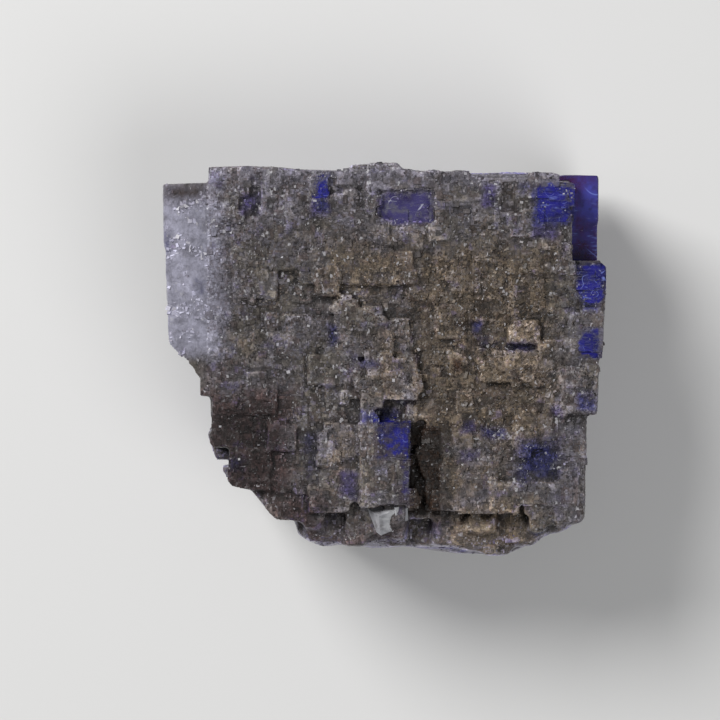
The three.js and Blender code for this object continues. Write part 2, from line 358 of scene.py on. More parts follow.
def nearness(tree, given, place):
    """1 in the jumbled part of the face, and 0 well away from it."""
    away = node(tree, "ShaderNodeVectorMath", {0: place, 1: given["Jumbled middle"]}, operation="DISTANCE")
    share = reckon(tree, "DIVIDE", away.outputs["Value"], given["Jumbled reach"])
    return reckon(tree, "SUBTRACT", 1.4, share, clamp=True)


def height_of(tree, vector):
    return node(tree, "ShaderNodeSeparateXYZ", {0: vector}).outputs["Z"]


def end_tree(tree, given, geometry):
    real = node(tree, "GeometryNodeRealizeInstances", {0: geometry}).outputs[0]
    finished = node(tree, "GeometryNodeSetMaterial", {"Geometry": real, "Material": given["Material"]})
    tree.links.new(finished.outputs[0], tree.nodes.new("NodeGroupOutput").inputs[0])
    return tree


def cube_growth(name, way):
    """Cubes on a surface, in its lattice but for a few that lean: loose, joined to it or carved out of it."""
    tree = bpy.data.node_groups.new(name, "GeometryNodeTree")
    measures = (
        "Spacing", "Narrowest", "Widest", "Least proud", "Most proud", "Lean", "Jumbled lean",
        "Jumbled reach", "Lowest facing", "Highest facing", "Bare within", "Clustered", "Highest",
    )
    sockets(
        tree,
        [("Geometry", "Geometry"), ("Clear crystals", "Object"), ("Jumbled middle", "Vector")]
        + [(name, "Float") for name in measures]
        + [("Seed", "Int"), ("Material", "Material")],
        [("Geometry", "Geometry")],
    )
    given = tree.nodes.new("NodeGroupInput").outputs
    seed = given["Seed"]

    facing = height_of(tree, node(tree, "GeometryNodeInputNormal").outputs[0])
    over = compare(tree, facing, given["Lowest facing"], "GREATER_THAN")
    under = compare(tree, facing, given["Highest facing"], "LESS_THAN")
    crowd = reckon(tree, "DIVIDE", 3.0, times(tree, given["Spacing"], given["Spacing"]))
    scatter = node(
        tree,
        "GeometryNodeDistributePointsOnFaces",
        {
            "Mesh": given["Geometry"],
            "Selection": both(tree, over, under),
            "Distance Min": given["Spacing"],
            "Density Max": crowd,
            "Seed": seed,
        },
        distribute_method="POISSON",
    )
    outward = scatter.outputs["Normal"]

    # None grow on a clear crystal, apart from a few over its rim
    clear = node(tree, "GeometryNodeObjectInfo", {"Object": given["Clear crystals"]}).outputs["Geometry"]
    near = node(tree, "GeometryNodeProximity", {0: clear}, target_element="FACES").outputs["Distance"]
    place = node(tree, "GeometryNodeInputPosition").outputs[0]
    ragged = noise_texture(tree, place, 1400.0)[0]
    bare = times(tree, given["Bare within"], straight(tree, ragged, 5.0, -1.9))
    covered = compare(tree, near, bare, "LESS_THAN")
    between = compare(tree, noise_texture(tree, place, 620.0)[0], given["Clustered"], "LESS_THAN")
    above = compare(tree, height_of(tree, place), given["Highest"], "GREATER_THAN")
    dropped = both(tree, both(tree, covered, between, "OR"), above, "OR")
    found = {"Geometry": scatter.outputs["Points"], "Selection": dropped}
    kept = node(tree, "GeometryNodeDeleteGeometry", found, domain="POINT")

    width = given["Narrowest"], given["Widest"]
    steps = [random_float(tree, *width, reckon(tree, "ADD", seed, float(k))) for k in (11, 12, 13)]
    size = node(tree, "ShaderNodeCombineXYZ", dict(enumerate(steps))).outputs[0]
    ways = {0: size, 1: vector_math(tree, "ABSOLUTE", outward)}
    thick = node(tree, "ShaderNodeVectorMath", ways, operation="DOT_PRODUCT").outputs["Value"]
    proud = random_float(tree, given["Least proud"], given["Most proud"], reckon(tree, "ADD", seed, 14.0))
    sunk = reckon(tree, "SUBTRACT", proud, times(tree, thick, 0.5))
    if way == "carved":
        sunk = times(tree, sunk, -1.0)
    offset = scaled(tree, outward, sunk)
    seated = node(tree, "GeometryNodeSetPosition", {"Geometry": kept.outputs[0], "Offset": offset})

    lean = straight(tree, nearness(tree, given, place), given["Jumbled lean"], given["Lean"])
    tilt = random_vector(tree, (-1.0, -1.0, -1.0), (1.0, 1.0, 1.0), reckon(tree, "ADD", seed, 15.0))
    cubes = node(
        tree,
        "GeometryNodeInstanceOnPoints",
        {
            "Points": seated.outputs[0],
            "Instance": node(tree, "GeometryNodeMeshCube").outputs["Mesh"],
            "Rotation": scaled(tree, tilt, lean),
            "Scale": size,
        },
    ).outputs[0]
    if way != "loose":
        operation, own_input = ("UNION", "Mesh 2") if way == "joined" else ("DIFFERENCE", "Mesh 1")
        boolean = node(tree, "GeometryNodeMeshBoolean", operation=operation, solver="MANIFOLD")
        tree.links.new(given["Geometry"], boolean.inputs[own_input])
        tree.links.new(cubes, boolean.inputs["Mesh 2"])
        cubes = boolean.outputs["Mesh"]
    return end_tree(tree, given, cubes)


def relief_tree():
    """Roughens a fine mesh: slow swells, lumps and the grain, which is strongest in the jumbled part."""
    tree = bpy.data.node_groups.new("crust relief", "GeometryNodeTree")
    sockets(
        tree,
        [("Geometry", "Geometry"), ("Jumbled middle", "Vector")]
        + [(name, "Float") for name in ("Swell", "Lumps", "Grain", "Jumbled grain", "Jumbled reach")]
        + [("Seed", "Int"), ("Material", "Material")],
        [("Geometry", "Geometry")],
    )
    given = tree.nodes.new("NodeGroupInput").outputs
    place = node(tree, "GeometryNodeInputPosition").outputs[0]
    outward = node(tree, "GeometryNodeInputNormal").outputs[0]

    def noise(scale, detail):
        return reckon(tree, "SUBTRACT", noise_texture(tree, place, scale, detail)[0], 0.5)

    swell = times(tree, noise(260.0, 1.0), given["Swell"])
    level = height_of(tree, place)
    ends = {0: level, 1: 14.0 * MM, 2: 17.0 * MM, 3: 0.25, 4: 1.0}
    faced = node(tree, "ShaderNodeMapRange", ends).outputs[0]
    lumps = times(tree, times(tree, noise(1500.0, 2.0), given["Lumps"]), faced)
    lumps = reckon(tree, "ADD", lumps, swell)
    grain = straight(tree, nearness(tree, given, place), given["Jumbled grain"], given["Grain"])
    patches = straight(tree, noise(320.0, 3.0), 3.0, 0.9, clamp=True)
    grain = times(tree, times(tree, grain, patches), faced)
    jitter = random_vector(tree, (-1.0, -1.0, -1.0), (1.0, 1.0, 1.0), given["Seed"])
    offset = vector_math(tree, "ADD", scaled(tree, outward, lumps), scaled(tree, jitter, grain))
    moved = node(tree, "GeometryNodeSetPosition", {"Geometry": given["Geometry"], "Offset": offset})
    return end_tree(tree, given, moved.outputs[0])


def plate_tone_tree():
    """Gives each face the tone of the plate that it lies on."""
    tree = bpy.data.node_groups.new("plate tone", "GeometryNodeTree")
    sockets(
        tree,
        [("Geometry", "Geometry"), ("Plates", "Object"), ("Material", "Material")],
        [("Geometry", "Geometry")],
    )
    given = tree.nodes.new("NodeGroupInput").outputs
    plates = node(tree, "GeometryNodeObjectInfo", {"Object": given["Plates"]}).outputs["Geometry"]
    flat = node(tree, "GeometryNodeInputNamedAttribute", {"Name": "flat"}, data_type="FLOAT").outputs[0]
    tone = node(tree, "GeometryNodeSampleNearestSurface", {"Mesh": plates, "Value": flat}, data_type="FLOAT")
    stored = node(
        tree,
        "GeometryNodeStoreNamedAttribute",
        {"Geometry": given["Geometry"], "Name": "flat", "Value": tone.outputs[0]},
        data_type="FLOAT",
        domain="FACE",
    )
    return end_tree(tree, given, stored.outputs[0])


def settle_inputs(modifier, values):
    """Sets a Geometry Nodes modifier's inputs by the identifiers of their sockets."""
    for item in modifier.node_group.interface.items_tree:
        if item.item_type == "SOCKET" and item.in_out == "INPUT" and item.name in values:
            modifier[item.identifier] = values[item.name]


def applied(obj):
    """The object's mesh with its modifiers in it."""
    bpy.context.view_layer.update()
    graph = bpy.context.evaluated_depsgraph_get()
    mesh = bpy.data.meshes.new_from_object(obj.evaluated_get(graph))
    obj.modifiers.clear()
    old, obj.data = obj.data, mesh
    bpy.data.meshes.remove(old)
    return obj


def grow(obj, tree, **values):
    """Runs a Geometry Nodes tree on the object, with its inputs by name."""
    modifier = obj.modifiers.new("growth", "NODES")
    modifier.node_group = tree
    settle_inputs(modifier, {key.replace("_", " ").capitalize(): value for key, value in values.items()})
    return applied(obj)


def grow_cubes(obj, tree, seed, spacing, widths, proud, leans, facings, highest=1000.0, **others):
    """Grows cubes on the object or cuts them out of it, with their sizes in millimetres."""
    return grow(
        obj, tree, seed=seed, spacing=spacing * MM, narrowest=widths[0] * MM, widest=widths[1] * MM,
        least_proud=proud[0] * MM, most_proud=proud[1] * MM, lean=leans[0], jumbled_lean=leans[1],
        lowest_facing=facings[0], highest_facing=facings[1], highest=highest * MM, **JUMBLE, **others,
    )


def new_object(name, mesh):
    made = bpy.data.objects.new(name, mesh)
    bpy.context.scene.collection.objects.link(made)
    return made


def copy_of(obj, name):
    return new_object(name, obj.data.copy())


def cut(obj, operation, other):
    """Joins, cuts or intersects with another closed solid."""
    modifier = obj.modifiers.new("cut", "BOOLEAN")
    modifier.operation = operation
    modifier.solver = "MANIFOLD"
    modifier.object = other
    return applied(obj)


def fine_mesh(obj, width):
    """An even mesh of small squares over the same shape."""
    modifier = obj.modifiers.new("fine mesh", "REMESH")
    modifier.mode = "VOXEL"
    modifier.voxel_size = width
    return applied(obj)


def softened(obj, rounds):
    """Wears the steps of a fine mesh."""
    modifier = obj.modifiers.new("wear", "SMOOTH")
    modifier.factor = 0.5
    modifier.iterations = rounds
    return applied(obj)


def boxes(name, rows):
    """Closed boxes in one mesh: each row gives two opposite corners in metres."""
    bm = bmesh.new()
    for first, last in rows:
        corners = [
            bm.verts.new((x, y, z))
            for z in (first[2], last[2])
            for x, y in ((first[0], first[1]), (last[0], first[1]), (last[0], last[1]), (first[0], last[1]))
        ]
        for loop in ((3, 2, 1, 0), (4, 5, 6, 7), (0, 1, 5, 4), (1, 2, 6, 5), (2, 3, 7, 6), (3, 0, 4, 7)):
            bm.faces.new([corners[k] for k in loop])
    mesh = bpy.data.meshes.new(name)
    bm.to_mesh(mesh)
    bm.free()
    return new_object(name, mesh)


def region(name, plan, span):
    """A box over a plan of left, right, low and high, from a foot to a top, in millimetres."""
    left, right, low, high = plan
    foot, top = span
    return boxes(name, [(Vector((left, low, foot)) * MM, Vector((right, high, top)) * MM)])


def union_of(name, solids):
    """One closed solid of several that overlap."""
    made = solids[0]
    made.name = name
    for other in solids[1:]:
        cut(made, "UNION", other)
        discard(other)
    return made


def set_finish(obj, finish):
    obj.data.materials.clear()
    obj.data.materials.append(finish)


def prism(name, points, foot, top):
    """A closed upright prism over a plan given clockwise in millimetres."""
    bm = bmesh.new()
    lower = [bm.verts.new((x * MM, y * MM, foot)) for x, y in points]
    upper = [bm.verts.new((x * MM, y * MM, top)) for x, y in points]
    bm.faces.new(lower)
    bm.faces.new(upper[::-1])
    for k in range(len(points)):
        after = (k + 1) % len(points)
        bm.faces.new((lower[after], lower[k], upper[k], upper[after]))
    mesh = bpy.data.meshes.new(name)
    bm.to_mesh(mesh)
    bm.free()
    return new_object(name, mesh)


def discard(obj):
    mesh = obj.data
    bpy.data.objects.remove(obj)
    bpy.data.meshes.remove(mesh)


def triangulated(obj):
    """Triangles alone. Two on the same corners are a fold with nothing in it, and both go."""
    bm = bmesh.new()
    bm.from_mesh(obj.data)
    bmesh.ops.triangulate(bm, faces=bm.faces)
    by_corners = {}
    for face in bm.faces:
        by_corners.setdefault(frozenset(face.verts), []).append(face)
    folds = [face for same in by_corners.values() if len(same) > 1 for face in same]
    bmesh.ops.delete(bm, geom=folds, context="FACES")
    bm.to_mesh(obj.data)
    bm.free()
    return obj


def places_of(mesh):
    flat = np.empty(len(mesh.vertices) * 3, dtype=np.float32)
    mesh.vertices.foreach_get("co", flat)
    return flat.reshape(-1, 3)


def move_to(obj, places):
    obj.data.vertices.foreach_set("co", places.astype(np.float32).ravel())
    obj.data.update()
    return obj


def normals_of(mesh):
    flat = np.empty(len(mesh.vertices) * 3, dtype=np.float32)
    mesh.vertex_normals.foreach_get("vector", flat)
    return flat.reshape(-1, 3)


def store(mesh, name, values, domain="POINT"):
    mesh.attributes.new(name, "FLOAT", domain).data.foreach_set("value", values.astype(np.float32))


def kept_inside(obj):
    """Moves the vertices that stand out of the CAD box back to it."""
    return move_to(obj, np.clip(places_of(obj.data), np.array(lowest) + 1e-6, np.array(highest) - 1e-6))


def eased(obj):
    """Presses the low steps of the display face towards its level, and leaves the deep ones."""
    places = places_of(obj.data)
    rise = places[:, 2] - FACE_STEP
    deep = np.clip((np.abs(rise) / MM - 0.9) / 1.0, 0.0, 1.0)
    deep = deep * deep * (3.0 - 2.0 * deep)
    across = np.clip((places[:, 0] / MM + 15.6) / 2.4, 0.0, 1.0)
    gentle = GENTLE * (0.15 + 0.85 * across)
    places[:, 2] = FACE_STEP + rise * (gentle + (1.0 - gentle) * deep)
    return move_to(obj, places)


def crystal_rows(obj):
    """The clear crystals' boxes, with their tops at the level of the face round them."""
    mesh = obj.data
    surface = BVHTree.FromPolygons([v.co for v in mesh.vertices], [p.vertices for p in mesh.polygons])
    found = []
    for left, right, low, high, depth, _ in CLEAR_CRYSTALS:
        levels = []
        for across in (0.15, 0.5, 0.85):
            for along in (0.15, 0.5, 0.85):
                x, y = left + (right - left) * across, low + (high - low) * along
                hit = surface.ray_cast(Vector((x, y, 30.0)) * MM, Vector((0.0, 0.0, -1.0)))[0]
                if hit:
                    levels.append(hit.z)
        top = sorted(levels)[len(levels) // 2]
        found.append((Vector((left * MM, low * MM, top - depth * MM)), Vector((right * MM, high * MM, top))))
    return found


def ragged_pits(rows, seed):
    """Each clear crystal's opening in the crust: its middle, and small boxes along its rim."""
    pick = np.random.default_rng(seed)
    found = []
    for first, last in rows:
        width, height = last[0] - first[0], last[1] - first[1]
        rim = 0.13 * min(width, height)
        low = Vector((first[0] + rim, first[1] + rim, first[2]))
        high = Vector((last[0] - rim, last[1] - rim, last[2]))
        found.append((low, high))
        for _ in range(10 + int((width + height) / MM * 3)):
            along = pick.uniform(0.0, 1.0, 2)
            side = pick.integers(4)
            if side < 2:
                along[0] = side
            else:
                along[1] = side - 2
            middle = Vector((first[0] + width * along[0], first[1] + height * along[1], 0.0))
            half = Vector((*pick.uniform(0.12, 0.42, 2), 0.0)) * MM
            foot = last[2] - pick.uniform(0.3, 0.9) * (last[2] - first[2])
            low, high = middle - half, middle + half
            low.z, high.z = foot, last[2]
            found.append((low, high))
    return found


def mark_flats(obj):
    """Gives each flat of each crystal its own number."""
    mesh = obj.data
    count = len(mesh.polygons)
    normal, middle = np.empty(count * 3, dtype=np.float32), np.empty(count * 3, dtype=np.float32)
    mesh.polygons.foreach_get("normal", normal)
    mesh.polygons.foreach_get("center", middle)
    normal, middle = normal.reshape(-1, 3), middle.reshape(-1, 3)
    level = np.einsum("ij,ij->i", normal, middle)
    keys = np.stack([*np.round(normal * 200).T, np.round(level * 4e5)]).astype(np.int64)
    mixed = keys[0] * 73856093 ^ keys[1] * 19349663 ^ keys[2] * 83492791 ^ keys[3] * 2654435761
    flat = ((mixed % 1000003) * 7919 % 9973) / 9973.0
    if "flat" in mesh.attributes:
        mesh.attributes.remove(mesh.attributes["flat"])
    store(mesh, "flat", flat, "FACE")
    return obj


def inside_outline(places):
    """How far inside the silhouette each place lies, in millimetres."""
    nearest = np.full(len(places), 100.0)
    for k, first in enumerate(OUTLINE):
        start, along = np.array(first), np.array(OUTLINE[(k + 1) % len(OUTLINE)]) - np.array(first)
        from_start = places[:, :2] - start
        share = np.clip(from_start @ along / (along @ along), 0.0, 1.0)
        nearest = np.minimum(nearest, np.linalg.norm(from_start - share[:, None] * along, axis=1))
    return nearest


def mark_layers(obj):
    """Gives each vertex its share of each colour, and of the painted light and shade: half at the edge of a
    patch and full inside it.
    """
    mesh = obj.data
    places = places_of(mesh) / MM
    rim = np.clip(2.6 - inside_outline(places), 0.0, 1.0)
    on_face = np.maximum(np.clip((places[:, 2] - 14.6) / 1.2, 0.0, 1.0), (1.0 - rim) * (places[:, 2] > 9.0))
    for layer, (patches, soft_edge) in LAYERS.items():
        share = np.zeros(len(places), dtype=np.float32)
        for left, right, low, high, strength, *own_edge in patches:
            across = np.abs(places[:, 0] - (left + right) / 2) - (right - left) / 2
            along = np.abs(places[:, 1] - (low + high) / 2) - (high - low) / 2
            outside = np.hypot(np.maximum(across, 0.0), np.maximum(along, 0.0))
            away = outside + np.minimum(np.maximum(across, along), 0.0)
            soft = own_edge[0] if own_edge else soft_edge
            share = np.maximum(share, strength * np.clip(0.5 - away / (2.0 * soft), 0.0, 1.0))
        if layer != "pale":
            share *= on_face
        store(mesh, layer, share)

    # How far a vertex lies on the broken sides and back, and not on the display face
    upright = np.clip((0.75 - normals_of(mesh)[:, 2]) / 0.35, 0.0, 1.0)
    depth = np.clip((17.9 - places[:, 2]) / 1.6, 0.0, 1.0)
    side = np.maximum(upright * depth, np.clip((14.5 - places[:, 2]) / 2.0, 0.0, 1.0))
    side *= np.maximum(rim, places[:, 2] < 9.0)
    store(mesh, "side", side)
    return obj


def evened(mesh, values, rounds):
    """Each vertex's values after a number of rounds of moving half way to the mean of its neighbours."""
    many = len(mesh.vertices)
    ends = np.empty(len(mesh.edges) * 2, dtype=np.int32)
    mesh.edges.foreach_get("vertices", ends)
    first, last = ends.reshape(-1, 2).T
    neighbours = np.bincount(ends, minlength=many).clip(1)[:, None]
    for _ in range(rounds):
        sums = [np.bincount(first, values[last, k], many) + np.bincount(last, values[first, k], many)
                for k in range(3)]
        values = 0.5 * values + 0.5 * np.stack(sums, axis=1) / neighbours
    return values


def rounded_low_edge(obj):
    """Rounds the lobes of the bottom edge, which is worn and not stepped."""
    mesh = obj.data
    places = places_of(mesh)
    share = np.clip((-14.6 - places[:, 1] / MM) / 0.9, 0.0, 1.0) * np.clip(places[:, 2] / MM - 10.0, 0.0, 1.0)
    return move_to(obj, places + (evened(mesh, places, 30) - places) * share[:, None])


def mark_ledges(obj, full):
    """Gives each vertex how far it stands out of the surface round it, or lies in a hollow of it. The crust
    paints light on these crests and shade in these hollows.
    """
    mesh = obj.data
    normals = evened(mesh, normals_of(mesh), 4)
    near = evened(mesh, places_of(mesh), 2)
    broad = evened(mesh, near, 14)
    levels = places_of(mesh)[:, 2]
    rise = np.einsum("ij,ij->i", normals, near - broad) / full
    rise *= np.clip(np.abs(levels - SPLIT_LEVEL) / MM - 0.2, 0.0, 1.0)
    # The painted shade in hollows stays weaker on the deep parts, which the rendered shadow darkens already
    shallow = np.clip(levels / MM - 15.0, 0.35, 1.0)
    for name, value in (("crest", rise), ("hollow", -rise * shallow)):
        store(mesh, name, np.clip(value, 0.0, 1.0))
    return obj


# Finishes


def mix(tree, factor, first, second, blend="MIX"):
    made = node(tree, "ShaderNodeMix", {0: factor, 6: first, 7: second}, data_type="RGBA", blend_type=blend)
    return made.outputs[2]


def ramp(tree, value, low, high):
    """0 below low, 1 above high and smooth between."""
    made = node(tree, "ShaderNodeMapRange", {0: value, 1: low, 2: high}, interpolation_type="SMOOTHSTEP")
    return made.outputs[0]


def crust_group():
    """The granular crust: its colours, its speckle, the light and shade painted into its colour and the
    relief that is finer than its mesh.
    """
    tree = bpy.data.node_groups.new("granular crust", "ShaderNodeTree")
    colours = (
        "Grey", "Olive", "Lavender", "Pale", "Tan", "Plum", "Rust and shade", "Violet", "Blue", "Glint",
        "Cleaved grey", "Cleaved lilac", "Cleaved blue",
    )
    sockets(
        tree,
        [(name, "Color") for name in colours]
        + [("Brightness", "Float"), ("Speckle", "Float"), ("Contrast", "Float"), ("Glinting", "Float")],
        [("Color", "Color"), ("Roughness", "Float"), ("Height", "Float"), ("Gloss", "Float")],
    )
    given = tree.nodes.new("NodeGroupInput").outputs
    place = node(tree, "ShaderNodeTexCoord").outputs["Object"]
    millimetres = scaled(tree, place, 1000.0)

    def share(layer):
        return node(tree, "ShaderNodeAttribute", attribute_name=layer).outputs["Fac"]

    def noise(scale, detail=2.0, rough=0.55, shift=0.0):
        moved = vector_math(tree, "ADD", millimetres, (shift, -shift, shift)) if shift else millimetres
        return noise_texture(tree, moved, scale, detail, rough)[0]

    flat = share("flat")
    tint = node(tree, "ShaderNodeTexWhiteNoise", {"W": flat}, noise_dimensions="1D").outputs["Value"]

    def fibres(scale, detail, rough, shift=0.0):
        """Noise drawn out along one or the other way of the lattice, by plate."""
        ways = []
        for stretch in ((1.0, 0.3, 0.6), (0.3, 1.0, 0.6)):
            drawn = mapped(tree, millimetres, moved=(shift, shift, 0.0), stretched=stretch)
            ways.append(noise_texture(tree, drawn, scale, detail, rough)[0])
        other_way = reckon(tree, "GREATER_THAN", tint, 0.6)
        return straight(tree, other_way, reckon(tree, "SUBTRACT", ways[1], ways[0]), ways[0])

    broad = noise(0.22, 2.0)
    patchy = noise(0.8, 4.0, 0.6)
    second = noise(0.7, 4.0, 0.6, 31.0)
    grainy = fibres(3.4, 4.0, 0.75)
    fine = noise(7.0, 3.0, 0.75)
    smooth = ramp(tree, noise(0.32, 3.0, 0.55, 43.0), 0.6, 0.42)
    smooth = reckon(tree, "MAXIMUM", times(tree, smooth, 0.65), ramp(tree, share("pale"), 0.2, 0.8))
    smooth = reckon(tree, "MAXIMUM", smooth, times(tree, share("lavender"), 0.7))
    side = share("side")
    smooth = reckon(tree, "MAXIMUM", smooth, times(tree, side, 0.9))
    rougher = straight(tree, smooth, -0.65, 1.0)

    def ragged(layer, other, least, most, rag):
        edge = straight(tree, other, rag, -0.5 * rag)
        return ramp(tree, reckon(tree, "ADD", share(layer), edge), least, most)

    colour = mix(tree, ramp(tree, broad, 0.35, 0.65), given["Grey"], given["Olive"])
    colour = mix(tree, ragged("lavender", second, 0.25, 0.85, 0.9), colour, given["Lavender"])
    colour = mix(tree, ragged("plum", patchy, 0.25, 0.95, 0.9), colour, given["Plum"])
    colour = mix(tree, ragged("tan", patchy, 0.2, 0.9, 1.1), colour, given["Tan"])
    milky = mix(tree, ramp(tree, patchy, 0.38, 0.62), given["Lavender"], given["Pale"])
    milky = mix(tree, times(tree, ramp(tree, second, 0.55, 0.42), 0.45), given["Pale"], milky)
    colour = mix(tree, ragged("pale", second, 0.2, 0.9, 0.8), colour, milky)
    lilac = times(tree, ramp(tree, second, 0.5, 0.66), 0.4)
    warm = reckon(tree, "ADD", share("plum"), times(tree, share("tan"), 0.7))
    bare = straight(tree, warm, -0.85, 1.0, clamp=True)
    lilac = times(tree, lilac, bare)
    colour = mix(tree, lilac, colour, given["Lavender"])
    pale_plate = times(tree, times(tree, ramp(tree, tint, 0.6, 0.95), 0.55), bare)
    colour = mix(tree, pale_plate, colour, given["Lavender"])
    colour = mix(tree, times(tree, ramp(tree, tint, 0.35, 0.1), 0.5), colour, given["Plum"])
    stray = ramp(tree, straight(tree, flat, 0.22, second), 0.72, 0.84)
    violet = reckon(tree, "MAXIMUM", ragged("violet", patchy, 0.3, 0.8, 0.9), times(tree, stray, 0.4))
    colour = mix(tree, times(tree, violet, 0.85), colour, given["Violet"])
    # Rust stains, and painted shade in crevices and in the deep recess
    colour = mix(tree, ragged("rust_and_shade", grainy, 0.3, 0.8, 0.9), colour, given["Rust and shade"])
    blue = ragged("blue", straight(tree, grainy, 0.5, times(tree, patchy, 0.8)), 0.4, 1.0, 1.0)
    colour = mix(tree, times(tree, blue, 0.95), colour, given["Blue"])

    # Square grains, each with its own tone and its own level
    widened = mapped(tree, millimetres, stretched=(1.0, 0.75, 1.0))
    wobble = noise_texture(tree, millimetres, 2.0)["Color"]
    widened = vector_math(tree, "ADD", widened, scaled(tree, wobble, 0.35))

    def grains(scale):
        inputs = {"Vector": widened, "Scale": scale, "Randomness": 0.95}
        made = node(tree, "ShaderNodeTexVoronoi", inputs, distance="CHEBYCHEV")
        return node(tree, "ShaderNodeSeparateColor", {0: made.outputs["Color"]}).outputs

    large, small = grains(2.2), grains(4.6)

    # The broken sides show the layers that the cubes grew in
    layered = mapped(tree, millimetres, turned=(0.02, 0.03, 0.0), stretched=(0.1, 0.1, 0.75))
    layers = noise_texture(tree, layered, 1.0, 4.0)[0]
    layers = straight(tree, reckon(tree, "SUBTRACT", tint, 0.5), 0.22, layers)
    cleaved = mix(tree, ramp(tree, layers, 0.38, 0.56), given["Cleaved grey"], given["Cleaved lilac"])
    deep = times(tree, ramp(tree, layers, 0.56, 0.63), ramp(tree, patchy, 0.36, 0.56))
    cleaved = mix(tree, times(tree, deep, 0.9), cleaved, given["Cleaved blue"])
    cleaved = mix(tree, share("pale"), cleaved, given["Pale"])
    colour = mix(tree, side, colour, cleaved)

    # Each plate has its own brightness, with pale grains, dark pores, painted shade in the hollows and shaded
    # patches, painted light on the crests and lit patches, and a few painted glints
    uneven = times(tree, given["Contrast"], straight(tree, share("pale"), -0.7, 1.0))
    shade = straight(tree, reckon(tree, "SUBTRACT", flat, 0.5), uneven, 1.0)
    shade = reckon(tree, "MAXIMUM", shade, 0.15)
    # Dark pores: painted shade in tiny pits
    pores = ramp(tree, noise(3.4, 3.0, 0.6, 83.0), 0.36, 0.42)
    pores = times(tree, reckon(tree, "SUBTRACT", 1.0, pores), rougher)
    # Painted light on the crests, weaker where the crust is pale
    crest = times(tree, share("crest"), straight(tree, share("pale"), -0.9, 1.0), clamp=True)
    for cause, change, unchanged in (
        (patchy, 0.9, 0.55),
        # Lighter tone, and painted light on lit sides and sparkles
        (share("light"), 0.45, 1.0),
        # Painted shade of recesses, pockets and steps
        (ragged("painted_shade", grainy, 0.1, 1.0, 0.5), -0.5, 1.0),
        (pores, -0.62, 1.0),
        (times(tree, reckon(tree, "SUBTRACT", large[0], 0.5), 0.55), rougher, 1.0),
        (times(tree, reckon(tree, "SUBTRACT", small[0], 0.5), 0.7), rougher, 1.0),
        # Painted shade in the hollows
        (share("hollow"), -0.62, 1.0),
        # Painted light on the crests
        (crest, 0.85, 1.0),
    ):
        shade = times(tree, shade, straight(tree, cause, change, unchanged))
    speckle = reckon(tree, "ADD", grainy, times(tree, reckon(tree, "SUBTRACT", fine, 0.5), 0.8))
    speckle = times(tree, reckon(tree, "SUBTRACT", speckle, 0.5), given["Speckle"])
    speckle = reckon(tree, "MAXIMUM", straight(tree, speckle, rougher, 1.0), 0.12)
    shade = times(tree, times(tree, shade, speckle), given["Brightness"])
    grey_shade = node(tree, "ShaderNodeCombineColor", {0: shade, 1: shade, 2: shade}).outputs[0]
    colour = mix(tree, 1.0, colour, grey_shade, "MULTIPLY")
    # Painted glints: bright specks on crests, on a few small cells and on a few flats
    sparse = ramp(tree, noise(1.1, 2.0, 0.5, 57.0), 0.42, 0.62)
    glint = times(tree, ramp(tree, fibres(6.5, 2.0, 0.6, 11.0), 0.64, 0.7), sparse)
    glint = times(tree, glint, straight(tree, share("crest"), 0.8, 0.6), clamp=True)
    bright = ramp(tree, noise(0.9, 2.0, 0.5, 71.0), 0.48, 0.6)
    bright = times(tree, ramp(tree, small[1], 0.952, 0.972), bright)
    bright = times(tree, bright, straight(tree, share("plum"), -0.6, 0.72))
    dull = reckon(tree, "SUBTRACT", 1.0, given["Glinting"])
    glint = reckon(tree, "MAXIMUM", reckon(tree, "MAXIMUM", glint, bright), ramp(tree, flat, dull, 1.0))
    colour = mix(tree, times(tree, glint, 0.8), colour, given["Glint"])

    rough = straight(tree, grainy, 0.5, 0.24)
    rough = reckon(tree, "ADD", rough, times(tree, flat, 0.12), clamp=True)
    rough = times(tree, rough, straight(tree, side, -0.6, 1.0))
    out = tree.nodes.new("NodeGroupOutput")
    levels = straight(tree, large[2], 0.8, times(tree, small[2], 0.5))
    levels = straight(tree, levels, rougher, fine)
    height = times(tree, levels, straight(tree, side, -0.8, 1.0))
    gloss = straight(tree, smooth, 0.35, times(tree, share("crest"), 0.5))
    gloss = times(tree, gloss, straight(tree, share("hollow"), -1.0, 1.0), clamp=True)
    for socket, value in zip(out.inputs, (colour, rough, height, gloss)):
        tree.links.new(value, socket)
    return tree


FLUORITE_IOR = 1.434


def material(name):
    made = bpy.data.materials.new(name)
    made.use_nodes = True
    tree = made.node_tree
    shader = tree.nodes["Principled BSDF"]
    return made, tree, shader


def crust_node(tree, **values):
    """What the crust's group puts out, with a material's own values."""
    group = node(tree, "ShaderNodeGroup", node_tree=bpy.data.node_groups["granular crust"])
    for key, value in {**CRUST, **values}.items():
        group.inputs[key].default_value = value
    return group.outputs


def crust_material(name, relief, **values):
    made, tree, shader = material(name)
    given = crust_node(tree, **values)
    bump = node(tree, "ShaderNodeBump", {"Height": given["Height"], "Strength": 0.9, "Distance": relief})
    tree.links.new(given["Color"], shader.inputs["Base Color"])
    tree.links.new(given["Roughness"], shader.inputs["Roughness"])
    tree.links.new(given["Gloss"], shader.inputs["Coat Weight"])
    tree.links.new(bump.outputs[0], shader.inputs["Normal"])
    shader.inputs["IOR"].default_value = FLUORITE_IOR
    shader.inputs["Specular IOR Level"].default_value = 0.3
    shader.inputs["Coat Roughness"].default_value = 0.28
    shader.inputs["Coat IOR"].default_value = FLUORITE_IOR
    return made


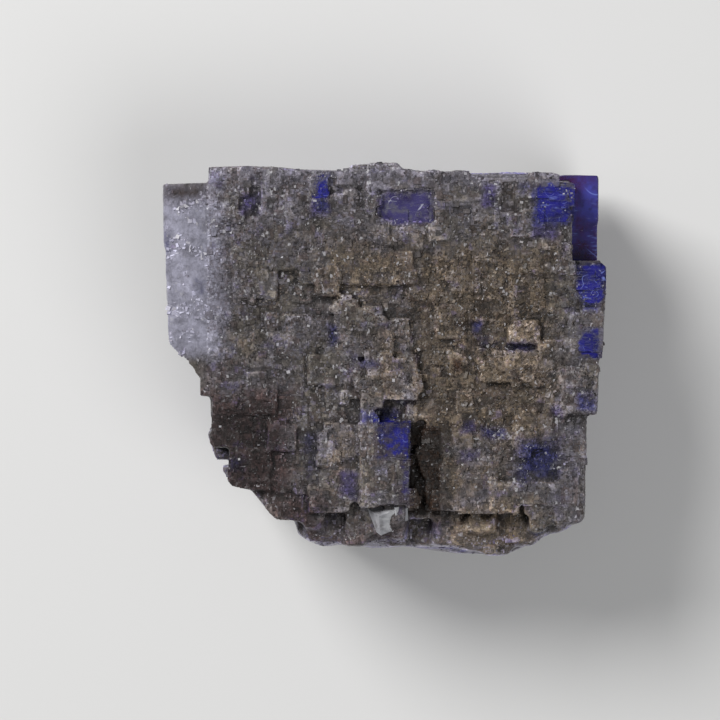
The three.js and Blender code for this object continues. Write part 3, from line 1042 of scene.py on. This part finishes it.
def clear_material(
    name, colours, cleavage_highlight, transmission, roughness, absorbed, density, relief, cracks=0.9, veiled=True
):
    """Clear fluorite: two colours, hazy in places, with painted highlights along its planes and cracks of
    cleavage, where they would catch the light.
    """
    first, second, haze = colours
    made, tree, shader = material(name)
    place = node(tree, "ShaderNodeTexCoord").outputs["Object"]
    millimetres = scaled(tree, place, 1000.0)

    def noise(scale, detail):
        return noise_texture(tree, millimetres, scale, detail)[0]

    clouds = noise(0.55, 4.0)
    turned = mapped(tree, millimetres, turned=(0.3, 0.2, 0.55), stretched=(0.5, 3.2, 0.5))
    planes = noise_texture(tree, turned, 1.0, 4.0, distortion=0.5)[0]
    layers = [node(tree, "ShaderNodeAttribute", attribute_name=layer) for layer in ("blue", "violet")]
    share = reckon(tree, "MAXIMUM", *[layer.outputs["Fac"] for layer in layers])
    colour = mix(tree, ramp(tree, straight(tree, share, 0.3, clouds), 0.45, 0.8), first, second)
    hazy = times(tree, ramp(tree, noise(1.5, 5.0), 0.46, 0.68), 0.8)
    colour = mix(tree, hazy, colour, haze)
    bright = times(tree, ramp(tree, planes, 0.6, 0.68), ramp(tree, clouds, 0.42, 0.6))
    colour = mix(tree, times(tree, bright, 0.6), colour, cleavage_highlight)
    bent = reckon(tree, "ABSOLUTE", reckon(tree, "SUBTRACT", noise(cracks, 0.0), 0.5))
    cracked = times(tree, ramp(tree, bent, 0.012, 0.003), ramp(tree, noise(cracks * 1.3, 0.0), 0.52, 0.64))
    colour = mix(tree, times(tree, cracked, 0.85), colour, cleavage_highlight)
    if veiled:
        edge = ramp(tree, straight(tree, noise(1.6, 5.0), 1.2, share), 1.25, 0.98)
        veil = crust_node(tree, Brightness=1.6, Speckle=3.0, Contrast=0.6, Glinting=0.0)["Color"]
        colour = mix(tree, times(tree, edge, 0.9), colour, veil)
    tree.links.new(colour, shader.inputs["Base Color"])
    rippled = straight(tree, noise(2.4, 4.0), 0.7, planes)
    bump = node(tree, "ShaderNodeBump", {"Height": rippled, "Strength": 0.7, "Distance": relief * MM})
    tree.links.new(bump.outputs[0], shader.inputs["Normal"])
    shader.inputs["Transmission Weight"].default_value = transmission
    shader.inputs["IOR"].default_value = FLUORITE_IOR
    shader.inputs["Roughness"].default_value = roughness
    volume = node(tree, "ShaderNodeVolumeAbsorption", {"Color": absorbed, "Density": density})
    tree.links.new(volume.outputs[0], tree.nodes["Material Output"].inputs["Volume"])
    return made


CRUST = {
    "Grey": (0.062, 0.054, 0.055, 1.0),
    "Olive": (0.064, 0.055, 0.046, 1.0),
    "Lavender": (0.101, 0.094, 0.116, 1.0),
    "Pale": (0.23, 0.225, 0.28, 1.0),
    "Tan": (0.086, 0.065, 0.045, 1.0),
    "Plum": (0.034, 0.020, 0.019, 1.0),
    "Rust and shade": (0.022, 0.011, 0.006, 1.0),
    "Violet": (0.034, 0.026, 0.085, 1.0),
    "Blue": (0.011, 0.012, 0.062, 1.0),
    "Glint": (0.42, 0.41, 0.43, 1.0),
    "Cleaved grey": (0.10, 0.092, 0.102, 1.0),
    "Cleaved lilac": (0.17, 0.155, 0.225, 1.0),
    "Cleaved blue": (0.04, 0.034, 0.16, 1.0),
}

crust_group()
crust, grain_finish, fleck_finish, slab_finish = (
    crust_material(name, relief * MM, Brightness=bright, Speckle=speckle, Contrast=contrast, Glinting=glints)
    for name, relief, bright, speckle, contrast, glints in (
        ("fluorite crust", 0.05, 1.05, 3.2, 0.9, 0.0),
        ("fluorite grains", 0.03, 1.15, 2.4, 1.4, 0.05),
        ("pale flecks", 0.02, 1.9, 1.6, 0.9, 0.25),
        ("pale slab", 0.02, 1.12, 1.7, 0.2, 0.0),
    )
)
clears = {
    "ultramarine": clear_material(
        "clear ultramarine",
        ((0.006, 0.005, 0.045, 1.0), (0.016, 0.015, 0.25, 1.0), (0.02, 0.022, 0.12, 1.0)),
        cleavage_highlight=(0.2, 0.25, 0.7, 1.0), transmission=0.35, roughness=0.28,
        absorbed=(0.3, 0.3, 0.95, 1.0), density=220.0, relief=0.14,
    ),
    "violet": clear_material(
        "clear violet",
        ((0.03, 0.022, 0.085, 1.0), (0.06, 0.05, 0.17, 1.0), (0.13, 0.125, 0.16, 1.0)),
        cleavage_highlight=(0.5, 0.5, 0.62, 1.0), transmission=0.35, roughness=0.25,
        absorbed=(0.5, 0.45, 0.85, 1.0), density=180.0, relief=0.14,
    ),
}
rear_finish = clear_material(
    "rear cube",
    ((0.062, 0.02, 0.088, 1.0), (0.075, 0.08, 0.42, 1.0), (0.05, 0.045, 0.2, 1.0)),
    cleavage_highlight=(0.2, 0.26, 0.75, 1.0), transmission=0.4, roughness=0.12,
    absorbed=(0.5, 0.45, 0.95, 1.0), density=90.0, relief=0.05, cracks=0.24, veiled=False,
)
slab_shader = slab_finish.node_tree.nodes["Principled BSDF"]
slab_shader.inputs["Transmission Weight"].default_value = 0.2
white_finish = clear_material(
    "white corner",
    ((0.5, 0.5, 0.53, 1.0), (0.78, 0.78, 0.8, 1.0), (0.3, 0.29, 0.3, 1.0)),
    cleavage_highlight=(0.95, 0.95, 0.95, 1.0), transmission=0.35, roughness=0.12,
    absorbed=(0.9, 0.9, 0.95, 1.0), density=30.0, relief=0.06, veiled=False,
)

# The body: plates grown on the large cubes, then the fine mesh that carries the grain

cad = bpy.data.objects[NODE]
plates = copy_of(cad, "plates")
bm = bmesh.new()
bm.from_mesh(plates.data)
bmesh.ops.remove_doubles(bm, verts=bm.verts, dist=1e-6)
bm.to_mesh(plates.data)
bm.free()
set_finish(plates, crust)

clear_blocks = boxes("clear blocks", crystal_rows(plates))
joined_growth = cube_growth("joined cubes", "joined")
loose_growth = cube_growth("loose grains", "loose")
carving = cube_growth("carved steps", "carved")
relief = relief_tree()
plate_tone = plate_tone_tree()

for seed, spacing, widths, proud, leans, bare in (
    (3, 1.9, (0.9, 3.4), (0.01, 0.12), (0.01, 0.04), 0.35),
    (7, 1.0, (0.5, 1.7), (0.01, 0.1), (0.02, 0.12), 0.2),
):
    grow_cubes(
        plates, joined_growth, seed, spacing, widths, proud, leans, (0.5, 1.1),
        clear_crystals=clear_blocks, bare_within=bare * MM, material=crust,
    )

# The plates stay inside the CAD box by the height that the relief and the grains may add
inset = Vector((0.12, 0.12, 0.0)) * MM
limits = boxes("limits", [(lowest + inset, highest - inset - Vector((0.0, 0.0, 0.12 * MM)))])
outline = prism("outline", OUTLINE, -1.0 * MM, 30.0 * MM)
for limit in (limits, outline):
    cut(plates, "INTERSECT", limit)
eased(plates)

# The slab is a part of the plates, and the rear cube is made of plain boxes
slab_overlap = region("slab overlap", (SLAB[0][0], SLAB[0][1] + 0.3, SLAB[0][2] - 0.3, SLAB[0][3]), SLAB[1])
slab = copy_of(plates, "pale_slab")
cut(slab, "INTERSECT", slab_overlap)
discard(slab_overlap)
rear_right, rear_top_edge = 20.45, 17.68
rear, rear_top = (
    region(name, (plan[0], rear_right, plan[2], rear_top_edge), span)
    for name, (plan, span) in (("rear_cube", REAR_CUBE), ("rear top", REAR_STRIP))
)
cut(rear, "UNION", rear_top)
cut(rear, "INTERSECT", outline)
discard(rear_top)
grow_cubes(
    rear, carving, 51, 2.4, (1.6, 5.0), (0.04, 0.2), (0.01, 0.0), (-1.1, 0.3), highest=15.0,
    clear_crystals=clear_blocks, material=crust,
)

# The sides and the back step in and out as broken cubes do
for growth, seed, spacing, widths, proud, leans, facings, top in (
    (carving, 41, 3.6, (2.6, 5.4), (0.08, 1.0), (0.01, 0.02), (-0.6, 0.6), 12.0),
    (carving, 45, 2.6, (1.4, 3.2), (0.08, 0.45), (0.01, 0.02), (-0.6, 0.6), 13.2),
    (joined_growth, 9, 2.2, (0.8, 3.0), (0.01, 0.14), (0.01, 0.03), (-0.4, 0.5), 17.0),
):
    grow_cubes(
        plates, growth, seed, spacing, widths, proud, leans, facings, highest=top,
        clear_crystals=clear_blocks, material=crust,
    )
for limit in (limits, outline):
    cut(plates, "INTERSECT", limit)
    discard(limit)
mark_flats(plates)
discard(clear_blocks)

# The openings of the clear crystals in the crust, and the body with its fine mesh
rows = crystal_rows(plates)
tints = [row[-1] for row in CLEAR_CRYSTALS]
over = Vector((0.0, 0.0, 1.5 * MM))
clear_blocks = boxes("clear blocks", rows)
pits = union_of("pits", [boxes("pit", [(first, last + over)]) for first, last in ragged_pits(rows, 4)])

slab_region = region("slab region", *SLAB)
rear_region = region("rear region", *REAR_CUBE)
body = copy_of(plates, "fluorite_body")
rear_strip = region("rear strip", *REAR_STRIP)
above_rear = region("above the rear cube", REAR_CUBE[0], (15.0, 25.0))
for pit in (slab_region, rear_region, rear_strip, above_rear, pits):
    cut(body, "DIFFERENCE", pit)
discard(above_rear)
discard(pits)
fine_mesh(body, GRAIN_MESH)
softened(body, 2)
rounded_low_edge(body)
grow(
    body, relief, seed=5, swell=0.16 * MM, lumps=0.08 * MM, grain=0.03 * MM, jumbled_grain=0.03 * MM,
    material=crust, **JUMBLE,
)
kept_inside(body)

# A pale corner of a leaning cube in the bottom edge
leaning = []
for middle, widths, turns in WHITE_CORNER:
    to_corner = Vector(widths) * MM / 2
    cube = boxes("leaning cube", [(-to_corner, to_corner)])
    cube.data.transform(Matrix.Translation(Vector(middle) * MM) @ Euler(turns).to_matrix().to_4x4())
    leaning.append(cube)
white = union_of("white_corner", leaning)
set_finish(white, white_finish)

# The grains that stand out of the crust
grains = []
for name, seed, spacing, widths, proud, lean, clustered, finish in (
    ("fine_grains", 21, 0.27, (0.12, 0.34), 0.08, 0.3, 0.46, grain_finish),
    ("coarse_grains", 22, 0.62, (0.3, 0.8), 0.1, 0.1, 0.4, crust),
):
    made = copy_of(body, name)
    grow_cubes(
        made, loose_growth, seed, spacing, widths, (0.0, proud), (lean, 0.5), (0.35, 1.1),
        clear_crystals=clear_blocks, bare_within=0.1 * MM, clustered=clustered, material=finish,
    )
    kept_inside(made)
    grains.append(mark_flats(made))


def flecks_of(obj, name, seed, spacing, widths, clustered, proud, lowest_facing):
    """Pale flecks on a clear piece."""
    flecks = copy_of(obj, name)
    grow_cubes(
        flecks, loose_growth, seed, spacing, widths, (0.0, proud), (0.5, 0.3), (lowest_facing, 1.1),
        bare_within=-1.0, clustered=clustered, material=fleck_finish,
    )
    kept_inside(flecks)
    return mark_flats(flecks)


# The slab and the rear cube, which let light through
discard(rear_strip)
discard(slab_region)
discard(rear_region)
fine_mesh(slab, CLEAR_MESH)
grow(
    slab, relief, seed=6, swell=0.18 * MM, lumps=0.1 * MM, grain=0.006 * MM, jumbled_grain=0.0,
    material=slab_finish, **JUMBLE,
)
kept_inside(slab)
set_finish(rear, rear_finish)
fine_mesh(rear, REAR_MESH)
softened(rear, 1)

# The body in two pieces, so that neither mesh is too large
around = Vector((30.0, 30.0, 0.0)) * MM
split, above, below = (Vector((0.0, 0.0, level)) for level in (SPLIT_LEVEL, 30.0 * MM, -10.0 * MM))
face_half = boxes("face half", [(split - around, above + around)])
back_half = boxes("back half", [(below - around, split + around)])
back = copy_of(body, "fluorite_back")
cut(body, "INTERSECT", face_half)
cut(back, "INTERSECT", back_half)
discard(face_half)
discard(back_half)
for piece in (body, back):
    grow(piece, plate_tone, plates=plates, material=crust)

pieces = [body, back, *grains, slab, rear, white]
raised = Vector((0.0, 0.0, 0.3 * MM))
wider = Vector((0.5, 0.5, 0.0)) * MM
for tint, finish in clears.items():
    own_rows = [row for row, own in zip(rows, tints) if own == tint]
    crystals = boxes("clear_" + tint, [(first - wider, last + wider + raised) for first, last in own_rows])
    fine_mesh(crystals, CLEAR_MESH)
    cut(crystals, "INTERSECT", plates)
    set_finish(crystals, finish)
    kept_inside(crystals)
    pieces.append(crystals)
    pieces.append(flecks_of(crystals, tint + "_flecks", 31, 0.24, (0.04, 0.24), 0.51, 0.06, 0.6))
pieces.append(flecks_of(slab, "slab_flecks", 33, 0.26, (0.06, 0.46), 0.55, 0.08, 0.4))
discard(clear_blocks)
discard(plates)

for piece, full in ((body, 0.05), (back, 0.06), (slab, 0.12)):
    mark_ledges(piece, full * MM)
for piece in pieces:
    triangulated(piece)
    mark_layers(piece)
    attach(piece, "root")
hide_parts(NODE)

# Floor, light and camera

FLOOR_REACH = 3.0
floor_mesh = bpy.data.meshes.new("floor")
corners = [(x * FLOOR_REACH, y * FLOOR_REACH, 0.0) for x, y in ((-1, -1), (1, -1), (1, 1), (-1, 1))]
floor_mesh.from_pydata(corners, [], [(0, 1, 2, 3)])
floor = new_object("floor", floor_mesh)
paper, tree, shader = material("pale paper")
shader.inputs["Base Color"].default_value = (0.62, 0.615, 0.605, 1.0)
shader.inputs["Roughness"].default_value = 0.9
floor_mesh.materials.append(paper)


def area_light(name, place, aim, size, power):
    data = bpy.data.lights.new(name, "AREA")
    data.shape = "DISK"
    data.size = size
    data.energy = power
    made = bpy.data.objects.new(name, data)
    bpy.context.scene.collection.objects.link(made)
    made.location = place
    made.rotation_euler = (Vector(aim) - Vector(place)).to_track_quat("-Z", "Y").to_euler()


lit_place = (0.0, 0.0, 0.01)
area_light("window light", (-0.45, 0.42, 0.50), lit_place, size=0.42, power=7.4)
area_light("room light", (0.38, -0.38, 0.75), lit_place, size=0.6, power=3.2)
world = bpy.data.worlds.new("studio")
bpy.context.scene.world = world
world.use_nodes = True
world.node_tree.nodes["Background"].inputs["Color"].default_value = (0.93, 0.96, 1.0, 1.0)
world.node_tree.nodes["Background"].inputs["Strength"].default_value = 0.22

# The photograph's frame, and what one of its pixels measures at the display face
PHOTO_WIDTH = 720
PIXEL = 0.0944 * MM
FACE_LEVEL = 18.6 * MM
DISTANCE = 0.30
TILT = math.radians(2.0)
aim = Vector((-24.5 * PIXEL, 1.5 * PIXEL, FACE_LEVEL))
camera_data = bpy.data.cameras.new("camera")
camera = bpy.data.objects.new("camera", camera_data)
bpy.context.scene.collection.objects.link(camera)
camera.location = aim + DISTANCE * Vector((0.0, math.sin(TILT), math.cos(TILT)))
camera.rotation_euler = (-TILT, 0.0, 0.0)
camera_data.sensor_width = 36.0
camera_data.lens = camera_data.sensor_width * DISTANCE / (PHOTO_WIDTH * PIXEL)
camera_data.clip_start = 0.01
camera_data.clip_end = 20.0
bpy.context.scene.camera = camera
bpy.context.scene.view_settings.view_transform = "Standard"
